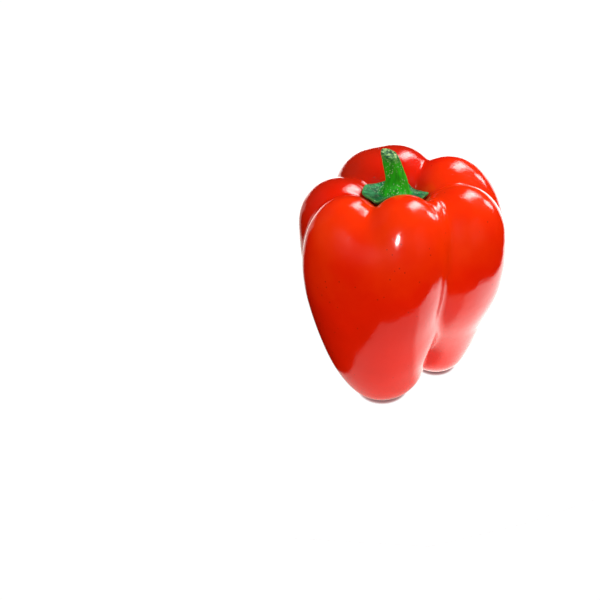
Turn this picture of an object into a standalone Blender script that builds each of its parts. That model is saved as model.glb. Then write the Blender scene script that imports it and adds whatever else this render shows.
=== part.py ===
"""Bell pepper: one whole fruit of six lobes standing on three feet, under its green stalk.

Metres, +Z up, the widest front lobe pair towards -Y. The fruit is one closed solid, the stalk
(five-sided stem, flare and calyx plate) another. The fruit is a blend of swept balls: each
lobe is a ball of changing radius drawn down a smooth line from the calyx, over its crest and
along the side to the foot it shares with a neighbour. The two front lobes have a web of flesh
between them, the back left lobe has a fold on its right, and a thin pleat lies in the furrow
between the front and the right lobe.
"""
import math

import bmesh
import bpy
import numpy as np
from mathutils import Vector
from mathutils.bvhtree import BVHTree

# --- fruit: the feet. azimuth (deg), distance of the foot from the axis, foot radius,
#     reach of the side at heel height, reach of the side at waist height
FEET = {
    "front": (-112.4, 0.0200, 0.0157, 0.0390, 0.0421),
    "right": (-12.5, 0.0142, 0.0129, 0.0314, 0.0358),
    "back": (126.0, 0.0160, 0.0140, 0.0330, 0.0385),
}
# --- fruit: the lobes. foot, azimuth of the crest (deg), crest height, distance of the crest
#     from the axis, crest radius, reach of the side at belly height, build (see SIDE_RADII),
#     and how far the side sways round from under its crest (deg)
LOBES = {
    "front_left": ("front", -140.0, 0.0931, 0.0256, 0.0122, 0.0438, "broad", -2.0),
    "left_web": ("front", -127.0, 0.0882, 0.0262, 0.0118, 0.0419, "broad", 0.0),
    "right_web": ("front", -107.0, 0.0878, 0.0255, 0.0118, 0.0419, "broad", -2.0),
    "front_middle": ("front", -79.0, 0.0983, 0.0220, 0.0148, 0.0431, "lean", -11.0),
    "right": ("right", -15.0, 0.0919, 0.0284, 0.0145, 0.0422, "wide", -13.0),
    "back_right": ("right", 41.5, 0.0897, 0.0262, 0.0143, 0.0442, "plain", -7.0),
    "back_fold": ("back", 93.0, 0.0928, 0.0225, 0.0160, 0.0405, "slim", 0.0),
    "back_left": ("back", 114.0, 0.0913, 0.0225, 0.0162, 0.0410, "plain", 0.0),
    "left": ("back", 177.0, 0.0888, 0.0245, 0.0135, 0.0407, "plain", 0.0),
}
SIDE_HEIGHTS = (0.066, 0.052, 0.037, 0.022)      # shoulder, belly, waist, heel
SIDE_RADII = {                                   # lobe radius at those four heights
    "plain": (0.0188, 0.0235, 0.0215, 0.0155),
    "broad": (0.0184, 0.0250, 0.0220, 0.0168),
    "wide": (0.0202, 0.0228, 0.0180, 0.0135),
    "lean": (0.0172, 0.0190, 0.0145, 0.0110),
    "slim": (0.0178, 0.0214, 0.0168, 0.0118),
}
SPREAD = {                                       # share of the crest's turn away from the foot,
    "plain": (1.0, 1.0, 1.0, 0.85, 0.50, 0.25, 0.10),  # from the calyx down to the foot
    "broad": (1.0, 1.0, 1.0, 0.85, 0.55, 0.45, 0.10),
    "wide": (1.0, 1.0, 1.0, 0.85, 0.50, 0.25, 0.10),
    "lean": (1.0, 1.0, 1.0, 0.80, 0.30, 0.05, 0.00),
    "slim": (1.0, 1.0, 1.0, 0.80, 0.30, 0.05, 0.00),
}
SWAY = (0.0, 0.1, 0.9, 1.0, 0.35, 0.0, 0.0)      # share of the sway, from calyx to foot
PLEAT_LINE = (                                   # centre line of the pleat and its radius
    (0.0112, -0.0105, 0.0835, 0.0018), (0.0121, -0.0125, 0.0862, 0.0020),
    (0.0136, -0.0181, 0.0851, 0.0021), (0.0146, -0.0225, 0.0822, 0.0022),
    (0.0151, -0.0257, 0.0780, 0.0022), (0.0148, -0.0262, 0.0720, 0.0022),
)
COLLAR_REACH = 0.0105                            # where a lobe starts, under the calyx
COLLAR_DROP = 0.0110                             # below the centre of its crest
COLLAR_RADIUS = 0.0060
TOP_SHIFT = (-0.0025, 0.0)                       # calyx end leans off the axis
LINE_POINTS = 41                                 # balls along one lobe
LOBE_BLEND = 0.0009
CORES = (                                        # centre and radii of what fills the middle
    ((0.0, 0.0, 0.043), (0.024, 0.024, 0.027)),
    ((0.0, -0.001, 0.020), (0.0135, 0.0135, 0.0145)),
)
CORE_BLEND = 0.0020
RAY_CENTRE = (0.0, 0.0, 0.040)                   # every point of the skin is seen from here
RAY_START = 0.075
RAY_STEPS = 120
FRUIT_SEGMENTS = 76
FRUIT_RINGS = 50

# --- stalk
GAP = 0.0004                                     # kept between the calyx and the skin
PATCH = 0.0007                                   # the gap is held over a patch this wide
CALYX_CORNERS = (                                # azimuth (deg), distance from the calyx centre
    (-163.0, 0.0142), (-118.0, 0.0142), (-86.0, 0.0072), (-48.0, 0.0098), (11.0, 0.0142),
    (58.0, 0.0100), (105.0, 0.0078), (155.0, 0.0124),
)
CALYX_CENTRE = (-0.0025, 0.0)
CORNER_SOFTNESS = 5.0                            # degrees either side
RIM_THICKNESS = 0.0012
PLATE_MIDDLE = 0.0822                            # height the plate dips to round the stem
VEIN_RISE = 0.0004                               # low ribs from the stem to the corners
UNDER_RINGS = (0.20, 0.38, 0.54, 0.68, 0.80, 0.90, 0.97)     # shares of the calyx radius
PLATE_STEPS = (0.07, 0.25, 0.48, 0.74, 1.0)      # from the rim in to where the flare starts
FLARE_STEPS = 6
FLARE_START = 0.0060                             # distance from the calyx centre
FLARE_RADIUS = 0.0050
STEM_LINE = (                                    # centre line of the stem and its radius
    (-0.0023, 0.0014, 0.0880, 0.00410), (-0.0031, 0.0012, 0.0915, 0.00385),
    (-0.0038, 0.0009, 0.0945, 0.00370), (-0.0044, 0.0006, 0.0972, 0.00355),
    (-0.0048, 0.0004, 0.0990, 0.00345), (-0.0050, 0.0002, 0.0999, 0.00325),
    (-0.0051, 0.0002, 0.1003, 0.00275), (-0.0051, 0.0002, 0.1002, 0.00140),
)
END_TILT = -20.0                                 # the cut is highest on its left side
STEM_RIBS = 5
RIB_DEPTH = 0.04
STALK_SEGMENTS = 48

SKIN_RED = (0.72, 0.035, 0.008, 1.0)
STALK_GREEN = (0.055, 0.24, 0.05, 1.0)


def clear_scene():
    """Remove every object, and the collections and meshes left behind."""
    for ob in list(bpy.data.objects):
        bpy.data.objects.remove(ob, do_unlink=True)
    for block in (bpy.data.collections, bpy.data.meshes, bpy.data.materials):
        for item in list(block):
            block.remove(item)


def principled(name, colour, roughness):
    """One Principled material."""
    mat = bpy.data.materials.new(name)
    mat.use_nodes = True
    bsdf = mat.node_tree.nodes["Principled BSDF"]
    bsdf.inputs["Base Color"].default_value = colour
    bsdf.inputs["Roughness"].default_value = roughness
    mat.diffuse_color = colour
    return mat


def smooth_line(stations, count):
    """Uniform cubic B-spline through the neighbourhood of the stations, ends held."""
    c = np.vstack([stations[:1], stations[:1], stations, stations[-1:], stations[-1:]])
    t = np.linspace(0.0, len(c) - 3 - 1e-9, count)
    i = np.floor(t).astype(int)
    f = (t - i)[:, None]
    return ((1 - f) ** 3 * c[i] + (3 * f ** 3 - 6 * f ** 2 + 4) * c[i + 1]
            + (3 * f ** 2 - 3 * f ** 3 + 3 * f + 1) * c[i + 2] + f ** 3 * c[i + 3]) / 6.0


def lobe_balls(name):
    """Centres and radii of the balls of one lobe, calyx end first."""
    foot, turn, crest, crest_reach, crest_radius, belly, build, sway = LOBES[name]
    foot_turn, foot_reach, foot_radius, heel, waist = FEET[foot]
    side = np.array(SIDE_RADII[build])
    reach = np.array([belly, belly, waist, heel]) - side
    radius = np.concatenate([[COLLAR_RADIUS, crest_radius], side, [foot_radius]])
    height = np.concatenate([[crest - crest_radius - COLLAR_DROP, crest - crest_radius],
                             SIDE_HEIGHTS, [foot_radius]])
    distance = np.concatenate([[COLLAR_REACH, crest_reach], reach, [foot_reach]])
    off = (turn - foot_turn + 180.0) % 360.0 - 180.0
    angle = np.radians(foot_turn + off * np.array(SPREAD[build]) + sway * np.array(SWAY))
    x = distance * np.cos(angle)
    y = distance * np.sin(angle)
    x[:2] += TOP_SHIFT[0]
    y[:2] += TOP_SHIFT[1]
    return smooth_line(np.stack([x, y, height, radius], 1), LINE_POINTS)


def lobe_distance(points, balls):
    """Distance from points to one swept ball line, smooth between the balls."""
    gap = np.linalg.norm(points[:, None, :] - balls[None, :, :3], axis=2) - balls[:, 3]
    row = np.arange(len(points))
    j = np.clip(gap.argmin(1), 1, len(balls) - 2)
    before, here, after = gap[row, j - 1], gap[row, j], gap[row, j + 1]
    bend = np.maximum(before - 2 * here + after, 1e-9)
    step = np.clip(0.5 * (before - after) / bend, -1.0, 1.0)
    return here - 0.25 * (before - after) * step


def soft_minimum(values, width):
    """Smooth least of several distances."""
    low = values.min(0)
    return low - width * np.log(np.exp(-(values - low) / width).sum(0))


def fruit_distance(points, lobes):
    """Distance from points to the skin, negative inside."""
    outer = soft_minimum(np.array([lobe_distance(points, balls) for balls in lobes]), LOBE_BLEND)
    inner = [(np.linalg.norm((points - np.array(middle)) / radii, axis=1) - 1.0) * min(radii)
             for middle, radii in CORES]
    return soft_minimum(np.stack([outer] + inner), CORE_BLEND)


def skin_points(directions):
    """March each ray inwards from outside until it meets the skin."""
    lobes = [lobe_balls(name) for name in LOBES]
    lobes.append(smooth_line(np.array(PLEAT_LINE), LINE_POINTS))
    centre = np.array(RAY_CENTRE)
    along = np.full(len(directions), RAY_START)
    for _ in range(RAY_STEPS):
        away = fruit_distance(centre + directions * along[:, None], lobes)
        along = np.maximum(along - 0.9 * away, 0.002)
    return centre + directions * along[:, None]


def fruit_mesh():
    """UV sphere whose vertices are moved to the skin; the feet are flat where they stand."""
    bm = bmesh.new()
    bmesh.ops.create_uvsphere(bm, u_segments=FRUIT_SEGMENTS, v_segments=FRUIT_RINGS, radius=1.0)
    directions = np.array([v.co for v in bm.verts])
    directions /= np.linalg.norm(directions, axis=1, keepdims=True)
    for vert, point in zip(bm.verts, skin_points(directions)):
        vert.co = (point[0], point[1], max(point[2], 0.0))
    return bm


def calyx_radius(angle):
    """Distance of the calyx edge from its centre: straight sides, softened corners."""
    def side(turn):
        turn = (turn - CALYX_CORNERS[0][0]) % 360.0 + CALYX_CORNERS[0][0]
        ring = CALYX_CORNERS + ((CALYX_CORNERS[0][0] + 360.0, CALYX_CORNERS[0][1]),)
        for (a, ra), (b, rb) in zip(ring, ring[1:]):
            if a <= turn <= b:
                low = ra * math.sin(math.radians(turn - a)) + rb * math.sin(math.radians(b - turn))
                return ra * rb * math.sin(math.radians(b - a)) / low
        return ring[0][1]
    turn = math.degrees(angle)
    return sum(side(turn + k * CORNER_SOFTNESS) for k in (-1.5, -0.75, 0.0, 0.75, 1.5)) / 5.0


def skin_height(tree, x, y):
    """Highest point of the skin over a small patch."""
    best = 0.0
    for k in range(9):
        reach = PATCH if k else 0.0
        px = x + reach * math.cos(k * math.pi / 4)
        py = y + reach * math.sin(k * math.pi / 4)
        hit = tree.ray_cast(Vector((px, py, 0.2)), Vector((0.0, 0.0, -1.0)))[0]
        best = max(best, hit.z)
    return best


def calyx_point(tree, angle, share, lift):
    """Point over the hollow at a share of the calyx radius, lifted off the skin."""
    reach = calyx_radius(angle) * share
    x = CALYX_CENTRE[0] + reach * math.cos(angle)
    y = CALYX_CENTRE[1] + reach * math.sin(angle)
    return Vector((x, y, skin_height(tree, x, y) + GAP + lift))


def plate_point(tree, angle, step):
    """Point on the upper side of the calyx: a shallow dish, ribbed towards its corners."""
    share = 1.0 + (FLARE_START / calyx_radius(angle) - 1.0) * step
    low = calyx_point(tree, angle, share, RIM_THICKNESS)
    rim = calyx_point(tree, angle, 1.0, RIM_THICKNESS).z
    turn = math.degrees(angle)
    away = min(abs((turn - corner[0] + 180.0) % 360.0 - 180.0) for corner in CALYX_CORNERS)
    dish = PLATE_MIDDLE + (rim - PLATE_MIDDLE) * share ** 1.6
    low.z = max(low.z, dish) + VEIN_RISE * step * math.exp(-(away / 9.0) ** 2)
    return low


def stem_ring(angle, station):
    """Point on the ribbed stem round one station of its centre line."""
    x, y, z, radius = station
    radius *= 1.0 + RIB_DEPTH * math.cos(STEM_RIBS * angle)
    dx = radius * math.cos(angle)
    dy = radius * math.sin(angle)
    rise = (z - STEM_LINE[0][2]) / (STEM_LINE[-2][2] - STEM_LINE[0][2])
    return Vector((x + dx, y + dy, z + dx * math.tan(math.radians(END_TILT)) * rise))


def stalk_column(tree, angle):
    """One meridian of the stalk, from under the calyx over its rim and up to the cut end."""
    column = [calyx_point(tree, angle, share, 0.0) for share in UNDER_RINGS]
    column.append(calyx_point(tree, angle, 1.0, 0.5 * RIM_THICKNESS))
    column.extend(plate_point(tree, angle, step) for step in PLATE_STEPS)
    start = column[-1]
    top = stem_ring(angle, STEM_LINE[0])
    foot = Vector((STEM_LINE[0][0] + FLARE_RADIUS * math.cos(angle),
                   STEM_LINE[0][1] + FLARE_RADIUS * math.sin(angle), start.z + 0.0002))
    for k in range(1, FLARE_STEPS):
        t = k / FLARE_STEPS
        column.append((1 - t) ** 2 * start + 2 * t * (1 - t) * foot + t ** 2 * top)
    column.extend(stem_ring(angle, station) for station in STEM_LINE)
    return column


def stalk_mesh(tree):
    """UV sphere whose rings become the rings of the stalk and whose poles close it."""
    rows = len(stalk_column(tree, 0.0))
    bm = bmesh.new()
    bmesh.ops.create_uvsphere(bm, u_segments=STALK_SEGMENTS, v_segments=rows + 1, radius=1.0)
    columns = {}
    for vert in bm.verts:
        row = round((math.asin(max(-1.0, min(1.0, vert.co.z))) / math.pi + 0.5) * (rows + 1))
        turn = round(math.atan2(vert.co.y, vert.co.x) / (2 * math.pi) * STALK_SEGMENTS)
        turn %= STALK_SEGMENTS
        if row == 0:
            floor = skin_height(tree, *CALYX_CENTRE)
            vert.co = (CALYX_CENTRE[0], CALYX_CENTRE[1], floor + GAP)
        elif row == rows + 1:
            vert.co = STEM_LINE[-1][:3]
        else:
            if turn not in columns:
                columns[turn] = stalk_column(tree, 2 * math.pi * turn / STALK_SEGMENTS)
            vert.co = columns[turn][row - 1]
    return bm


def finish(bm, name, material, collection):
    """Turn a bmesh into a named object of the pepper's collection."""
    bmesh.ops.recalc_face_normals(bm, faces=bm.faces)
    mesh = bpy.data.meshes.new(name)
    bm.to_mesh(mesh)
    bm.free()
    mesh.materials.append(material)
    ob = bpy.data.objects.new(name, mesh)
    collection.objects.link(ob)
    return ob


def centre_over_origin(objects):
    """Put the middle of the footprint of the whole pepper over the origin."""
    corners = np.array([v.co for ob in objects for v in ob.data.vertices])
    middle = (corners.min(0) + corners.max(0)) / 2.0
    for ob in objects:
        for vert in ob.data.vertices:
            vert.co -= Vector((middle[0], middle[1], 0.0))


def build():
    """Build the fruit, then the stalk that follows the hollow in its top."""
    clear_scene()
    pepper = bpy.data.collections.new("bell pepper")
    bpy.context.scene.collection.children.link(pepper)
    fruit = fruit_mesh()
    tree = BVHTree.FromBMesh(fruit)
    stalk = stalk_mesh(tree)
    objects = [
        finish(fruit, "fruit", principled("red skin", SKIN_RED, 0.25), pepper),
        finish(stalk, "stalk", principled("green stalk", STALK_GREEN, 0.55), pepper),
    ]
    centre_over_origin(objects)


build()
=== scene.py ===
import bpy
import bmesh
import math
import numpy as np
from mathutils import Matrix, Vector, noise


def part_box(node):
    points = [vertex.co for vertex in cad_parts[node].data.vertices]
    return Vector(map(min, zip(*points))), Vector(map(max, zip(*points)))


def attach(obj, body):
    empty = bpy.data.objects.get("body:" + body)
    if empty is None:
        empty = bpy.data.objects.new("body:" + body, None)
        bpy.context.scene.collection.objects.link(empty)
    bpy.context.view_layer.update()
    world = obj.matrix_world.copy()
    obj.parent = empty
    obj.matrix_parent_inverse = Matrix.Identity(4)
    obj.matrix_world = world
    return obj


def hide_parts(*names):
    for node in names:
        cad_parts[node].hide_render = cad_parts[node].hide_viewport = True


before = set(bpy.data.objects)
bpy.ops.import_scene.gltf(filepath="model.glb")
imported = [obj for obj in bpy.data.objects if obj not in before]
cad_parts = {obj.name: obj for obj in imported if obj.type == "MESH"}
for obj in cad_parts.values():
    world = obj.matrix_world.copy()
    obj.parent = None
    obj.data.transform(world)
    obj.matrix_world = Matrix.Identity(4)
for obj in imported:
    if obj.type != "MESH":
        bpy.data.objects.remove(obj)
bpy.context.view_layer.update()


# ---------------------------------------------------------------- the fruit
# The fruit is one grown body: plump lobes round a hollow at the stalk end, tapering to three
# rounded feet. Its waxy red skin is tight over the flesh and as glossy as lacquer. Each lobe is
# drawn here as a ball that changes size as it moves from the hollow over its crest to a foot.
FEET = {                # turn, distance from the axis, radius, reach at the heel, at the waist
    "front": (-112.4, 0.0200, 0.0157, 0.0390, 0.0421),
    "right": (-12.5, 0.0142, 0.0129, 0.0314, 0.0358),
    "back": (126.0, 0.0160, 0.0140, 0.0330, 0.0385),
}
LOBES = (               # foot, turn; crest height, distance, radius; belly reach, build, sway
    ("front", -140.0, 0.0931, 0.0256, 0.0122, 0.0438, "broad", -2.0),
    ("front", -127.0, 0.0882, 0.0262, 0.0118, 0.0419, "broad", 0.0),
    ("front", -107.0, 0.0878, 0.0255, 0.0118, 0.0419, "broad", -2.0),
    ("front", -79.0, 0.0983, 0.0220, 0.0148, 0.0431, "lean", -11.0),
    ("right", -15.0, 0.0919, 0.0284, 0.0145, 0.0422, "wide", -13.0),
    ("right", 41.5, 0.0897, 0.0262, 0.0143, 0.0442, "plain", -7.0),
    ("back", 93.0, 0.0928, 0.0225, 0.0160, 0.0405, "slim", 0.0),
    ("back", 114.0, 0.0913, 0.0225, 0.0162, 0.0410, "plain", 0.0),
    ("back", 177.0, 0.0888, 0.0245, 0.0135, 0.0407, "plain", 0.0),
)
SIDE_HEIGHTS = (0.066, 0.052, 0.037, 0.022)     # shoulder, belly, waist and heel
SIDE_RADII = {          # the ball's radius at each of these heights
    "plain": (0.0188, 0.0235, 0.0215, 0.0155),
    "broad": (0.0184, 0.0250, 0.0220, 0.0168),
    "wide": (0.0202, 0.0228, 0.0180, 0.0135),
    "lean": (0.0172, 0.0190, 0.0145, 0.0110),
    "slim": (0.0178, 0.0214, 0.0168, 0.0118),
}
SPREAD = {              # share of the crest's turn away from the foot, from calyx to foot
    "plain": (1.0, 1.0, 1.0, 0.85, 0.50, 0.25, 0.10),
    "broad": (1.0, 1.0, 1.0, 0.85, 0.55, 0.45, 0.10),
    "lean": (1.0, 1.0, 1.0, 0.80, 0.30, 0.05, 0.00),
}
SPREAD["wide"], SPREAD["slim"] = SPREAD["plain"], SPREAD["lean"]
SWAY = (0.0, 0.1, 0.9, 1.0, 0.35, 0.0, 0.0)     # share of a lobe's sideways sway, likewise
PLEAT_LINE = (          # a small pleat in the furrow on the right of the middle front lobe
    (0.0112, -0.0105, 0.0835, 0.0018), (0.0121, -0.0125, 0.0862, 0.0020),
    (0.0136, -0.0181, 0.0851, 0.0021), (0.0146, -0.0225, 0.0822, 0.0022),
    (0.0151, -0.0257, 0.0780, 0.0022), (0.0148, -0.0262, 0.0720, 0.0022),
)
COLLAR_REACH, COLLAR_DROP, COLLAR_RADIUS = 0.0105, 0.0110, 0.0060   # each lobe's end at the calyx
TOP_SHIFT = (-0.0025, 0.0)                      # the hollow lies a little to the left of the feet
LINE_POINTS = 41                                # balls along each lobe
LOBE_BLEND, CORE_BLEND = 0.0009, 0.0020         # how softly the shapes run into each other
CORES = (               # two egg shapes that fill the middle: centre, and radii
    ((0.0, 0.0, 0.043), (0.024, 0.024, 0.027)),
    ((0.0, -0.001, 0.020), (0.0135, 0.0135, 0.0145)),
)
RAY_CENTRE = np.array((0.0, 0.0, 0.040))        # the skin is found along rays to this point
RAY_START, RAY_END = 0.075, 0.002               # distances from it where a ray starts and ends
RAY_STEPS, RAY_SHARE, RAY_CLOSE = 120, 0.9, 2e-6    # steps, share of the gap in each, last gap
DENTS = ((55.0, 0.00022), (140.0, 0.00006))     # how close together, and how deep


def smooth_line(stations, count):
    """Points along the smooth curve (a cubic B-spline) that the stations draw."""
    c = np.vstack([stations[:1], stations[:1], stations, stations[-1:], stations[-1:]])
    t = np.linspace(0.0, len(c) - 3 - 1e-9, count)
    i = np.floor(t).astype(int)
    f = (t - i)[:, None]
    return ((1 - f) ** 3 * c[i] + (3 * f ** 3 - 6 * f ** 2 + 4) * c[i + 1]
            + (3 * f ** 2 - 3 * f ** 3 + 3 * f + 1) * c[i + 2] + f ** 3 * c[i + 3]) / 6.0


def lobe_balls(foot, turn, crest, crest_reach, crest_radius, belly, build, sway):
    """Centres and radii of the balls of one lobe, calyx end first."""
    foot_turn, foot_reach, foot_radius, heel, waist = FEET[foot]
    side = np.array(SIDE_RADII[build])
    reach = np.array([belly, belly, waist, heel]) - side
    radius = np.concatenate([[COLLAR_RADIUS, crest_radius], side, [foot_radius]])
    height = np.concatenate([[crest - crest_radius - COLLAR_DROP, crest - crest_radius],
                             SIDE_HEIGHTS, [foot_radius]])
    distance = np.concatenate([[COLLAR_REACH, crest_reach], reach, [foot_reach]])
    off = (turn - foot_turn + 180.0) % 360.0 - 180.0
    angle = np.radians(foot_turn + off * np.array(SPREAD[build]) + sway * np.array(SWAY))
    x = distance * np.cos(angle)
    y = distance * np.sin(angle)
    x[:2] += TOP_SHIFT[0]
    y[:2] += TOP_SHIFT[1]
    return smooth_line(np.stack([x, y, height, radius], 1), LINE_POINTS)


def soft_minimum(values, width):
    """Smooth least of several distances."""
    low = values.min(0)
    return low - width * np.log(np.exp(-(values - low) / width).sum(0))


def lobe_distance(points, balls):
    """Distance to one lobe: a parabola through the nearest ball and its two neighbours."""
    gap = np.sqrt(((points[:, None, :] - balls[None, :, :3]) ** 2).sum(2)) - balls[:, 3]
    row = np.arange(len(points))
    j = np.clip(gap.argmin(1), 1, len(balls) - 2)
    before, here, after = gap[row, j - 1], gap[row, j], gap[row, j + 1]
    bend = np.maximum(before - 2 * here + after, 1e-9)
    return here - 0.25 * (before - after) * np.clip(0.5 * (before - after) / bend, -1.0, 1.0)


def fruit_distance(points, lobes):
    """Distance to the skin, negative inside."""
    outer = soft_minimum(np.array([lobe_distance(points, balls) for balls in lobes]), LOBE_BLEND)
    inner = [(np.sqrt((((points - np.array(middle)) / radii) ** 2).sum(1)) - 1.0) * min(radii)
             for middle, radii in CORES]
    return soft_minimum(np.stack([outer] + inner), CORE_BLEND)


def skin_points(directions):
    """Each ray comes in from outside until it meets the skin."""
    lobes = [lobe_balls(*row) for row in LOBES]
    lobes.append(smooth_line(np.array(PLEAT_LINE), LINE_POINTS))
    along = np.full(len(directions), RAY_START)
    moving = np.arange(len(directions))
    for _ in range(RAY_STEPS):
        points = RAY_CENTRE + directions[moving] * along[moving, None]
        away = fruit_distance(points, lobes)
        along[moving] = np.maximum(along[moving] - RAY_SHARE * away, RAY_END)
        moving = moving[np.abs(away) > RAY_CLOSE]
        if not len(moving):
            break
    return RAY_CENTRE + directions * along[:, None]


def deselect_all():
    """An operator acts on all that is selected, so nothing is left selected before one."""
    for ob in bpy.context.selected_objects:
        ob.select_set(False)


deselect_all()
bpy.ops.mesh.primitive_uv_sphere_add(segments=240,
                                     ring_count=156, radius=1.0)
fruit_skin = bpy.context.object
fruit_skin.name = "fruit_skin"
directions = np.array([v.co for v in fruit_skin.data.vertices])
directions /= np.linalg.norm(directions, axis=1, keepdims=True)
skin = skin_points(directions)

# Growing skin is never quite even: broad soft dents, 0.2 mm deep, break up its reflections.
for k, point in enumerate(skin):
    dent = sum(noise.noise(Vector(point) * fineness) * depth for fineness, depth in DENTS)
    skin[k] = point + directions[k] * dent

# The feet are flat where they touch the floor, and the skin fills the fruit's box exactly.
skin[:, 2] = np.maximum(skin[:, 2], 0.0)
node_low, node_high = (np.array(c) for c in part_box("fruit"))
made_low, made_high = skin.min(0), skin.max(0)
skin = node_low + (skin - made_low) * (node_high - node_low) / (made_high - made_low)
fruit_skin.data.vertices.foreach_set("co", skin.ravel())
fruit_skin.data.update()
bpy.ops.object.shade_smooth()
shift = (node_low + node_high) / 2.0 - (made_low + made_high) / 2.0


def plug(node, sockets):
    """Give each socket a plain value, or link it to a node's output (its first by default)."""
    for key, value in sockets.items():
        if isinstance(value, bpy.types.Node):
            value = value.outputs[0]
        if isinstance(value, bpy.types.NodeSocket):
            node.id_data.links.new(value, node.inputs[key])
        else:
            node.inputs[key].default_value = value


def node_maker(tree):
    """A function that adds a node to the tree, with its sockets and its settings."""
    def add(kind, sockets=None, **settings):
        node = tree.nodes.new(kind)
        for key, value in settings.items():
            setattr(node, key, value)
        plug(node, sockets or {})
        return node
    return add


def new_material(name):
    """A material with its node tree, its Principled BSDF and a maker of further nodes."""
    mat = bpy.data.materials.new(name)
    mat.use_nodes = True
    tree = mat.node_tree
    return mat, tree, tree.nodes["Principled BSDF"], node_maker(tree)


def colour_ramp(add, factor, stops):
    """A colour ramp over the factor, with stops of (position, colour)."""
    ramp = add("ShaderNodeValToRGB", {"Fac": factor})
    elements = ramp.color_ramp.elements
    while len(elements) < len(stops):
        elements.new(0.5)
    for element, (position, colour) in zip(elements, stops):
        element.position = position
        element.color = (*colour, 1.0)
    return ramp


# Specks: small round marks, scattered in patches. The skin has them as pits, the stalk as warts.
FULL_SHARE = 0.4                    # share of a speck's size over which it shows in full
PATCH_SHARE = 0.17                  # closeness of the patches, as a share of that of the specks
specks = bpy.data.node_groups.new("specks", "ShaderNodeTree")
for name, way, kind in (("Vector", "INPUT", "Vector"), ("Spacing", "INPUT", "Float"),
                        ("Size", "INPUT", "Float"), ("Patches", "INPUT", "Float"),
                        ("Mask", "OUTPUT", "Float")):
    specks.interface.new_socket(name=name, in_out=way, socket_type="NodeSocket" + kind)
add = node_maker(specks)
given = add("NodeGroupInput").outputs
dots = add("ShaderNodeTexVoronoi", {"Vector": given["Vector"], "Scale": given["Spacing"]})
full_size = add("ShaderNodeMath", {0: given["Size"], 1: FULL_SHARE}, operation="MULTIPLY")
dot = add("ShaderNodeMapRange", {"Value": dots.outputs["Distance"], "From Min": given["Size"],
                                 "From Max": full_size}, interpolation_type="SMOOTHSTEP")
patch_scale = add("ShaderNodeMath", {0: given["Spacing"], 1: PATCH_SHARE}, operation="MULTIPLY")
patch = add("ShaderNodeTexNoise", {"Vector": given["Vector"], "Scale": patch_scale, "Detail": 1.0})
crowd = add("ShaderNodeMath", {0: patch.outputs["Fac"], 1: given["Patches"]},
            operation="GREATER_THAN")
mask = add("ShaderNodeMath", {0: dot, 1: crowd}, operation="MULTIPLY")
add("NodeGroupOutput", {"Mask": mask})

# Painted light and shade: the skin is painted more orange toward the top and on the front right,
# where light falls, and deeper red low down and on the lobes at the back left, which lie in shade.
# A soft cloud adds uneven tone.
skin_mat, tree, bsdf, add = new_material("pepper_skin")
place = add("ShaderNodeTexCoord").outputs["Object"]
axes = add("ShaderNodeSeparateXYZ", {"Vector": place})
# painted light: more orange higher up, deeper red lower down
rise = add("ShaderNodeMapRange", {"Value": axes.outputs["Z"], "From Min": 0.010,
                                  "From Max": 0.085, "To Max": 0.30})
# painted shade: deeper red on the back left, more orange on the front right
sunward = add("ShaderNodeVectorMath", {0: place, 1: (0.60, -0.80, 0.0)}, operation="DOT_PRODUCT")
sun = add("ShaderNodeMapRange", {"Value": sunward.outputs["Value"], "From Min": -0.030,
                                 "From Max": 0.004, "To Max": 0.50},
          interpolation_type="SMOOTHSTEP")
cloud = add("ShaderNodeTexNoise", {"Vector": place, "Scale": 45.0, "Detail": 3.0,
                                   "Roughness": 0.55})
uneven = add("ShaderNodeMapRange", {"Value": cloud.outputs["Fac"], "From Min": 0.2,
                                    "From Max": 0.8, "To Max": 0.20})
both = add("ShaderNodeMath", {0: rise, 1: sun}, operation="ADD")
tone_and_painted_light = add("ShaderNodeMath", {0: both, 1: uneven}, operation="ADD")
# from deep red in painted shade to orange in painted light
red = colour_ramp(add, tone_and_painted_light, (
    (0.32, (0.42, 0.0150, 0.0030)), (0.60, (0.67, 0.0100, 0.0002)),
    (0.78, (0.80, 0.0120, 0.0002)), (0.93, (0.88, 0.0320, 0.0002))))
pits = add("ShaderNodeGroup", {"Vector": place, "Spacing": 330.0, "Size": 0.12, "Patches": 0.53},
           node_tree=specks)
pitted = add("ShaderNodeMixRGB", {"Fac": pits, "Color1": red, "Color2": (0.42, 0.010, 0.001, 1.0)})
grain = add("ShaderNodeTexNoise", {"Vector": place, "Scale": 420.0, "Detail": 3.0,
                                   "Roughness": 0.6})
sunk = add("ShaderNodeMath", {0: grain.outputs["Fac"], 1: pits}, operation="SUBTRACT")
bump = add("ShaderNodeBump", {"Height": sunk, "Strength": 0.18, "Distance": 0.0004})
smear = add("ShaderNodeMapRange", {"Value": cloud.outputs["Fac"], "To Min": 0.11, "To Max": 0.17})
plug(bsdf, {"Base Color": pitted, "Normal": bump, "Roughness": smear, "IOR": 1.45})
fruit_skin.data.materials.append(skin_mat)
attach(fruit_skin, "root")
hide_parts("fruit")


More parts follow.
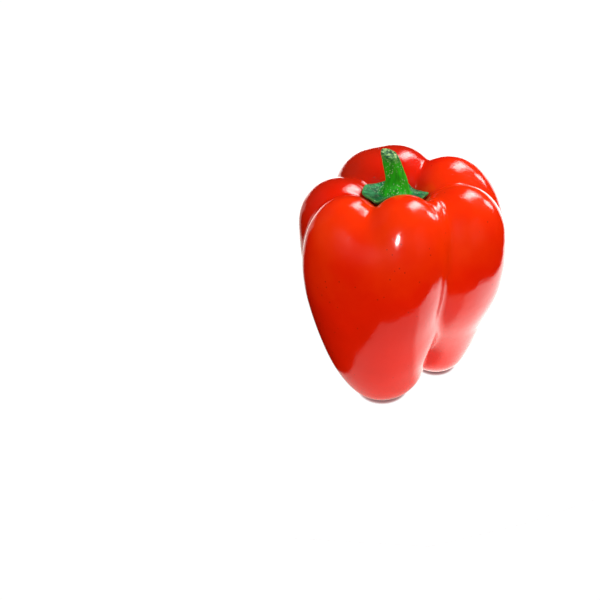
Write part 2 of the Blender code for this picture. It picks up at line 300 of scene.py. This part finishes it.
# ---------------------------------------------------------------- the stalk
# Calyx, flare and stem are one grown green body. The calyx is a leathery plate whose corners
# reach into the furrows between the lobes; the stem was cut with a knife, and the cut has dried
# pale. Its smooth shape comes from the solid, subdivided, and its fine relief is added here.
CALYX_MIDDLE = (TOP_SHIFT[0] + shift[0], TOP_SHIFT[1] + shift[1])
FLARE_REACH = 0.0062                # where the calyx plate ends and the stem flares
PLATE_START, PLATE_FADE = FLARE_REACH - 0.001, 0.0018
SECTORS = 120                       # the plate's reach is taken in this many directions
RIM_START, RIM_FADE = 0.93, 0.06    # shares of that reach over which the edge turns pale
CUT_SLOPE = math.tan(math.radians(20.0))
CUT_DEPTH, PITH_DEPTH = 0.0030, 0.0012  # how far down the stem has dried, and the pith shows
FACE_START, FACE_FADE = 0.55, 0.25      # how far up the cut's face looks, where it begins
PUCKERS, RAGGED = (420.0, 0.00022), (1300.0, 0.00030)   # how close together, and how deep
RIDGES = ((700.0, 700.0, 90.0), 0.00010)                # likewise, and drawn out along the stem

deselect_all()
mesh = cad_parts["stalk"].data.copy()
stalk = bpy.data.objects.new("stalk_calyx", mesh)
bpy.context.scene.collection.objects.link(stalk)
mesh.materials.clear()
bm = bmesh.new()
bm.from_mesh(mesh)
bmesh.ops.remove_doubles(bm, verts=bm.verts, dist=1e-6)
bm.to_mesh(mesh)
bm.free()
bpy.context.view_layer.objects.active = stalk
stalk.select_set(True)
bpy.ops.object.mode_set(mode="EDIT")
bpy.ops.mesh.select_all(action="SELECT")
bpy.ops.mesh.tris_convert_to_quads(face_threshold=math.radians(60),
                                   shape_threshold=math.radians(60))
bpy.ops.mesh.normals_make_consistent(inside=False)
bpy.ops.object.mode_set(mode="OBJECT")
smooth = stalk.modifiers.new("smooth", "SUBSURF")
smooth.levels = smooth.render_levels = 2
bpy.ops.object.modifier_apply(modifier="smooth")
bpy.ops.object.shade_smooth()

mesh = stalk.data
points = np.empty(len(mesh.vertices) * 3)
normals = np.empty(len(mesh.vertices) * 3)
mesh.vertices.foreach_get("co", points)
mesh.vertices.foreach_get("normal", normals)
points, normals = points.reshape(-1, 3), normals.reshape(-1, 3)
across = points[:, :2] - CALYX_MIDDLE
reach = np.hypot(across[:, 0], across[:, 1])
way = np.arctan2(across[:, 1], across[:, 0]) / (2 * np.pi) + 0.5
sector = (way * SECTORS).astype(int) % SECTORS
rim = np.zeros(SECTORS)
np.maximum.at(rim, sector, reach)
along_cut = points[:, 2] + CUT_SLOPE * points[:, 0]
below_cut = along_cut.max() - along_cut
marks = {
    "calyx_edge": np.clip((reach / rim[sector] - RIM_START) / RIM_FADE, 0.0, 1.0),
    "calyx_plate": np.clip((reach - PLATE_START) / PLATE_FADE, 0.0, 1.0),
    "cut_end": np.clip(1.0 - below_cut / CUT_DEPTH, 0.0, 1.0),
    "cut_face": (np.clip((normals[:, 2] - FACE_START) / FACE_FADE, 0.0, 1.0)
                 * (below_cut < PITH_DEPTH)),
}
marks["calyx_edge"] *= marks["calyx_plate"]
for name, values in marks.items():
    layer = mesh.attributes.new(name, "FLOAT", "POINT")
    layer.data.foreach_set("value", values)

# The plate is puckered like leather, the stem faintly ridged, and the cut rough.
for k, point in enumerate(points):
    spot = Vector(point)
    pucker = noise.noise(spot * PUCKERS[0]) * PUCKERS[1] * marks["calyx_plate"][k]
    ridge = noise.noise(spot * Vector(RIDGES[0])) * RIDGES[1]
    ragged = noise.noise(spot * RAGGED[0]) * RAGGED[1] * marks["cut_end"][k] ** 2
    points[k] = point + normals[k] * (pucker + ridge + ragged)
points[:, 2] = np.minimum(points[:, 2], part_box("stalk")[1][2])
mesh.vertices.foreach_set("co", points.ravel())
mesh.update()

# The stem is grassy green along its fibres, the calyx a darker bluish green with a pale rim, and
# both carry pale warts. The last 3 mm of the stem have dried, and pith shows in the cut.
stalk_mat, tree, bsdf, add = new_material("stalk_green")
place = add("ShaderNodeTexCoord").outputs["Object"]
edge, plate, end, face = (add("ShaderNodeAttribute", attribute_name=name).outputs["Fac"]
                          for name in marks)
long = add("ShaderNodeMapping", {"Vector": place, "Scale": (1.0, 1.0, 0.2)})
fibre = add("ShaderNodeTexNoise", {"Vector": long, "Scale": 800.0, "Detail": 3.0})
cloud = add("ShaderNodeTexNoise", {"Vector": place, "Scale": 420.0, "Detail": 4.0,
                                   "Roughness": 0.65})
stem = colour_ramp(add, fibre.outputs["Fac"], (
    (0.30, (0.003, 0.190, 0.002)), (0.70, (0.016, 0.460, 0.003))))
leather = colour_ramp(add, cloud.outputs["Fac"], (
    (0.36, (0.001, 0.070, 0.022)), (0.54, (0.003, 0.190, 0.050)), (0.68, (0.05, 0.42, 0.14))))
green = add("ShaderNodeMixRGB", {"Fac": plate, "Color1": stem, "Color2": leather})
rimmed = add("ShaderNodeMixRGB", {"Fac": edge, "Color1": green, "Color2": (0.06, 0.26, 0.05, 1.0)})
warts = add("ShaderNodeGroup", {"Vector": place, "Spacing": 1100.0, "Size": 0.30,
                                "Patches": 0.42}, node_tree=specks)
warted = add("ShaderNodeMixRGB", {"Fac": warts, "Color1": rimmed,
                                  "Color2": (0.42, 0.62, 0.36, 1.0)})
blotch = add("ShaderNodeTexNoise", {"Vector": place, "Scale": 620.0, "Detail": 3.0,
                                    "Roughness": 0.7})
dried = colour_ramp(add, blotch.outputs["Fac"], (
    (0.42, (0.004, 0.050, 0.020)), (0.50, (0.04, 0.20, 0.04)), (0.60, (0.14, 0.34, 0.08))))
ended = add("ShaderNodeMixRGB", {"Fac": end, "Color1": warted, "Color2": dried})
pith = colour_ramp(add, blotch.outputs["Fac"], (
    (0.40, (0.004, 0.05, 0.02)), (0.50, (0.06, 0.22, 0.05)), (0.60, (0.34, 0.48, 0.17)),
    (0.68, (0.78, 0.78, 0.45))))
cut = add("ShaderNodeMixRGB", {"Fac": face, "Color1": ended, "Color2": pith})
rough = add("ShaderNodeMath", {0: cloud.outputs["Fac"], 1: warts}, operation="ADD")
bump = add("ShaderNodeBump", {"Height": rough, "Strength": 0.5, "Distance": 0.0003})
matt = add("ShaderNodeMapRange", {"Value": cloud.outputs["Fac"], "To Min": 0.50, "To Max": 0.70})
plug(bsdf, {"Base Color": cut, "Normal": bump, "Roughness": matt, "Specular IOR Level": 0.2})
stalk.data.materials.append(stalk_mat)
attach(stalk, "root")
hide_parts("stalk")


# ---------------------------------------------------------------- floor, light and camera
# A sheet of white paper on a dark table, both glowing so brightly for the camera that they burn
# out, save for a painted contact shadow under the fruit. The paper shows in the lower skin as a
# pale sheen, brightest on the right. A tall window stands behind on the right and a smaller one in
# front on the left; the room is dim.
PAPER = (               # corners, down the left side, along the front and up the right side
    (-0.60, 0.60), (-0.60, 0.36), (-0.20, 0.150), (-0.085, 0.060), (-0.055, 0.034),
    (-0.032, -0.010), (-0.034, -0.034), (-0.040, -0.051), (-0.041, -0.070), (-0.039, -0.101),
    (0.010, -0.104), (0.045, -0.092), (0.112, -0.060), (0.112, 0.034), (0.140, 0.120),
    (0.40, 0.60),
)
TABLE = ((-1.0, -1.0), (1.0, -1.0), (1.0, 1.0), (-1.0, 1.0))
TABLE_LEVEL = -0.00002                          # just below the paper
SURFACES = (            # name, grey, glow on the underside of the fruit, brightness in its skin
    ("white_paper", 0.8, 0.70, 3.0),
    ("dark_table", 0.05, 0.0, 0.0),
)
BURNT_OUT = 1.03                                # brightness of both for the camera
SKY_SEEN, SKY_ROOM, SKY_MIRRORED = 1.0, 0.46, 0.008     # to the camera, as light, in the skin
MIDDLE_HEIGHT = 0.046                           # the lights and the camera face this height
WINDOWS = (             # name, turn from the front, rise, distance, width, height, power
    ("tall_window", 152, 44, 1.20, 0.26, 0.60, 4.5),
    ("tall_window_edge", 152, 42, 1.25, 0.50, 0.95, 6.5),
    ("low_window", 131, 16, 1.20, 0.20, 0.32, 2.2),
    ("front_window", -23, 40, 1.20, 0.11, 0.38, 8.0),
    ("front_window_edge", -22, 40, 1.25, 0.18, 0.50, 2.2),
)
WALLS = (               # the same values
    ("back_right_wall", 135, 40, 1.5, 1.0, 1.0, 18.0),
    ("right_wall", 54, 30, 1.5, 1.0, 1.0, 7.5),
    ("front_wall", 0, 45, 1.5, 1.0, 1.0, 2.5),
    ("left_wall", -32, 30, 1.5, 1.0, 1.0, 8.0),
    ("back_left_wall", -125, 30, 1.5, 1.0, 1.0, 3.0),
)
CAMERA_LENS, CAMERA_RISE, CAMERA_DISTANCE = 84.0, math.radians(36.0), 0.560
AIM_RIGHT, AIM_UP = math.radians(-4.17), math.radians(-1.23)

floor_mesh = bpy.data.meshes.new("paper_on_table")
floor = bpy.data.objects.new("paper_on_table", floor_mesh)
bpy.context.scene.collection.objects.link(floor)
bm = bmesh.new()
for slot, (outline, height) in enumerate(((PAPER, 0.0), (TABLE, TABLE_LEVEL))):
    sheet = bm.faces.new([bm.verts.new((x, y, height)) for x, y in outline])
    sheet.material_index = slot
    sheet.normal_update()
    if sheet.normal.z < 0:
        sheet.normal_flip()
bm.to_mesh(floor_mesh)
bm.free()

# Painted contact shadow: where the fruit comes down to the floor the white is held back to a thin
# dark line.
painted_contact_shadow = bpy.data.node_groups.new("painted_contact_shadow", "ShaderNodeTree")
painted_contact_shadow.interface.new_socket(name="Colour", in_out="OUTPUT", socket_type="NodeSocketColor")
add = node_maker(painted_contact_shadow)
near = add("ShaderNodeAmbientOcclusion", {"Distance": 0.0020}, samples=16)
line = colour_ramp(add, near.outputs["AO"], (
    (0.20, (0.16, 0.07, 0.075)), (0.60, (0.50, 0.26, 0.26)), (0.80, (0.94, 0.85, 0.85)),
    (0.92, (1.0, 1.0, 1.0))))
add("NodeGroupOutput", {"Colour": line})

for name, grey, glow, brightness in SURFACES:
    floor_mat, tree, bsdf, add = new_material(name)
    plug(bsdf, {"Base Color": (grey, grey, grey, 1.0), "Roughness": 0.9,
                "Specular IOR Level": 0.0, "Emission Color": (1.0, 1.0, 1.0, 1.0),
                "Emission Strength": glow})
    place = add("ShaderNodeTexCoord").outputs["Object"]
    right = add("ShaderNodeVectorMath", {0: place, 1: (1.0, 0.8, 0.0)}, operation="DOT_PRODUCT")
    lit = add("ShaderNodeMapRange", {"Value": right.outputs["Value"], "From Min": -0.030,
                                     "From Max": 0.060})
    white = colour_ramp(add, lit, (
        (0.0, (0.26, 0.23, 0.21)), (0.26, (0.27, 0.24, 0.22)), (0.36, (0.66, 0.60, 0.56)),
        (1.0, (1.0, 0.94, 0.92))))
    mirrored = add("ShaderNodeEmission", {"Color": white, "Strength": brightness})
    # the painted contact shadow darkens the white that the camera sees
    edge = add("ShaderNodeGroup", node_tree=painted_contact_shadow)
    burnt_out = add("ShaderNodeEmission", {"Color": edge, "Strength": BURNT_OUT})
    path = add("ShaderNodeLightPath").outputs
    unseen = add("ShaderNodeMixShader", {"Fac": path["Is Glossy Ray"], 1: bsdf, 2: mirrored})
    seen = add("ShaderNodeMixShader", {"Fac": path["Is Camera Ray"], 1: unseen, 2: burnt_out})
    plug(tree.nodes["Material Output"], {"Surface": seen})
    floor_mesh.materials.append(floor_mat)

world = bpy.data.worlds.new("studio")
bpy.context.scene.world = world
world.use_nodes = True
world.node_tree.nodes.clear()
add = node_maker(world.node_tree)
sky, room, dark = (
    add("ShaderNodeBackground", {"Color": (1.0, 1.0, 1.0, 1.0), "Strength": strength})
    for strength in (SKY_SEEN, SKY_ROOM, SKY_MIRRORED))
path = add("ShaderNodeLightPath").outputs
mirrored = add("ShaderNodeMixShader", {"Fac": path["Is Glossy Ray"], 1: room, 2: dark})
seen = add("ShaderNodeMixShader", {"Fac": path["Is Camera Ray"], 1: mirrored, 2: sky})
add("ShaderNodeOutputWorld", {"Surface": seen})


def softbox(name, turn, rise, distance, width, height, power, mirrored):
    """An area light that faces the pepper, either mirrored in its skin or only lighting it."""
    turn, rise = math.radians(turn), math.radians(rise)
    way = Vector((math.sin(turn) * math.cos(rise), -math.cos(turn) * math.cos(rise),
                  math.sin(rise)))
    data = bpy.data.lights.new(name, "AREA")
    data.shape = "RECTANGLE"
    data.size, data.size_y, data.energy = width, height, power
    light = bpy.data.objects.new(name, data)
    bpy.context.scene.collection.objects.link(light)
    light.location = Vector((0.0, 0.0, MIDDLE_HEIGHT)) + way * distance
    light.rotation_euler = way.to_track_quat("Z", "Y").to_euler()
    light.visible_glossy = mirrored
    light.visible_diffuse = not mirrored


# The windows are mirrored in the skin. The pale walls light the pepper and aren't seen in it.
for row in WINDOWS:
    softbox(*row, mirrored=True)
for row in WALLS:
    softbox(*row, mirrored=False)

camera_data = bpy.data.cameras.new("camera")
camera = bpy.data.objects.new("camera", camera_data)
bpy.context.scene.collection.objects.link(camera)
camera_data.sensor_width = 36.0
camera_data.lens = CAMERA_LENS
target = Vector((shift[0], shift[1], MIDDLE_HEIGHT))
back = Vector((0.0, -math.cos(CAMERA_RISE), math.sin(CAMERA_RISE)))
level = back.to_track_quat("Z", "Y").to_matrix()
aim = Matrix.Rotation(-AIM_RIGHT, 3, "Y") @ Matrix.Rotation(AIM_UP, 3, "X")
camera.matrix_world = Matrix.LocRotScale(target + back * CAMERA_DISTANCE, level @ aim, None)
camera_data.clip_start, camera_data.clip_end = 0.01, 20.0
bpy.context.scene.camera = camera
bpy.context.scene.view_settings.view_transform = "Standard"
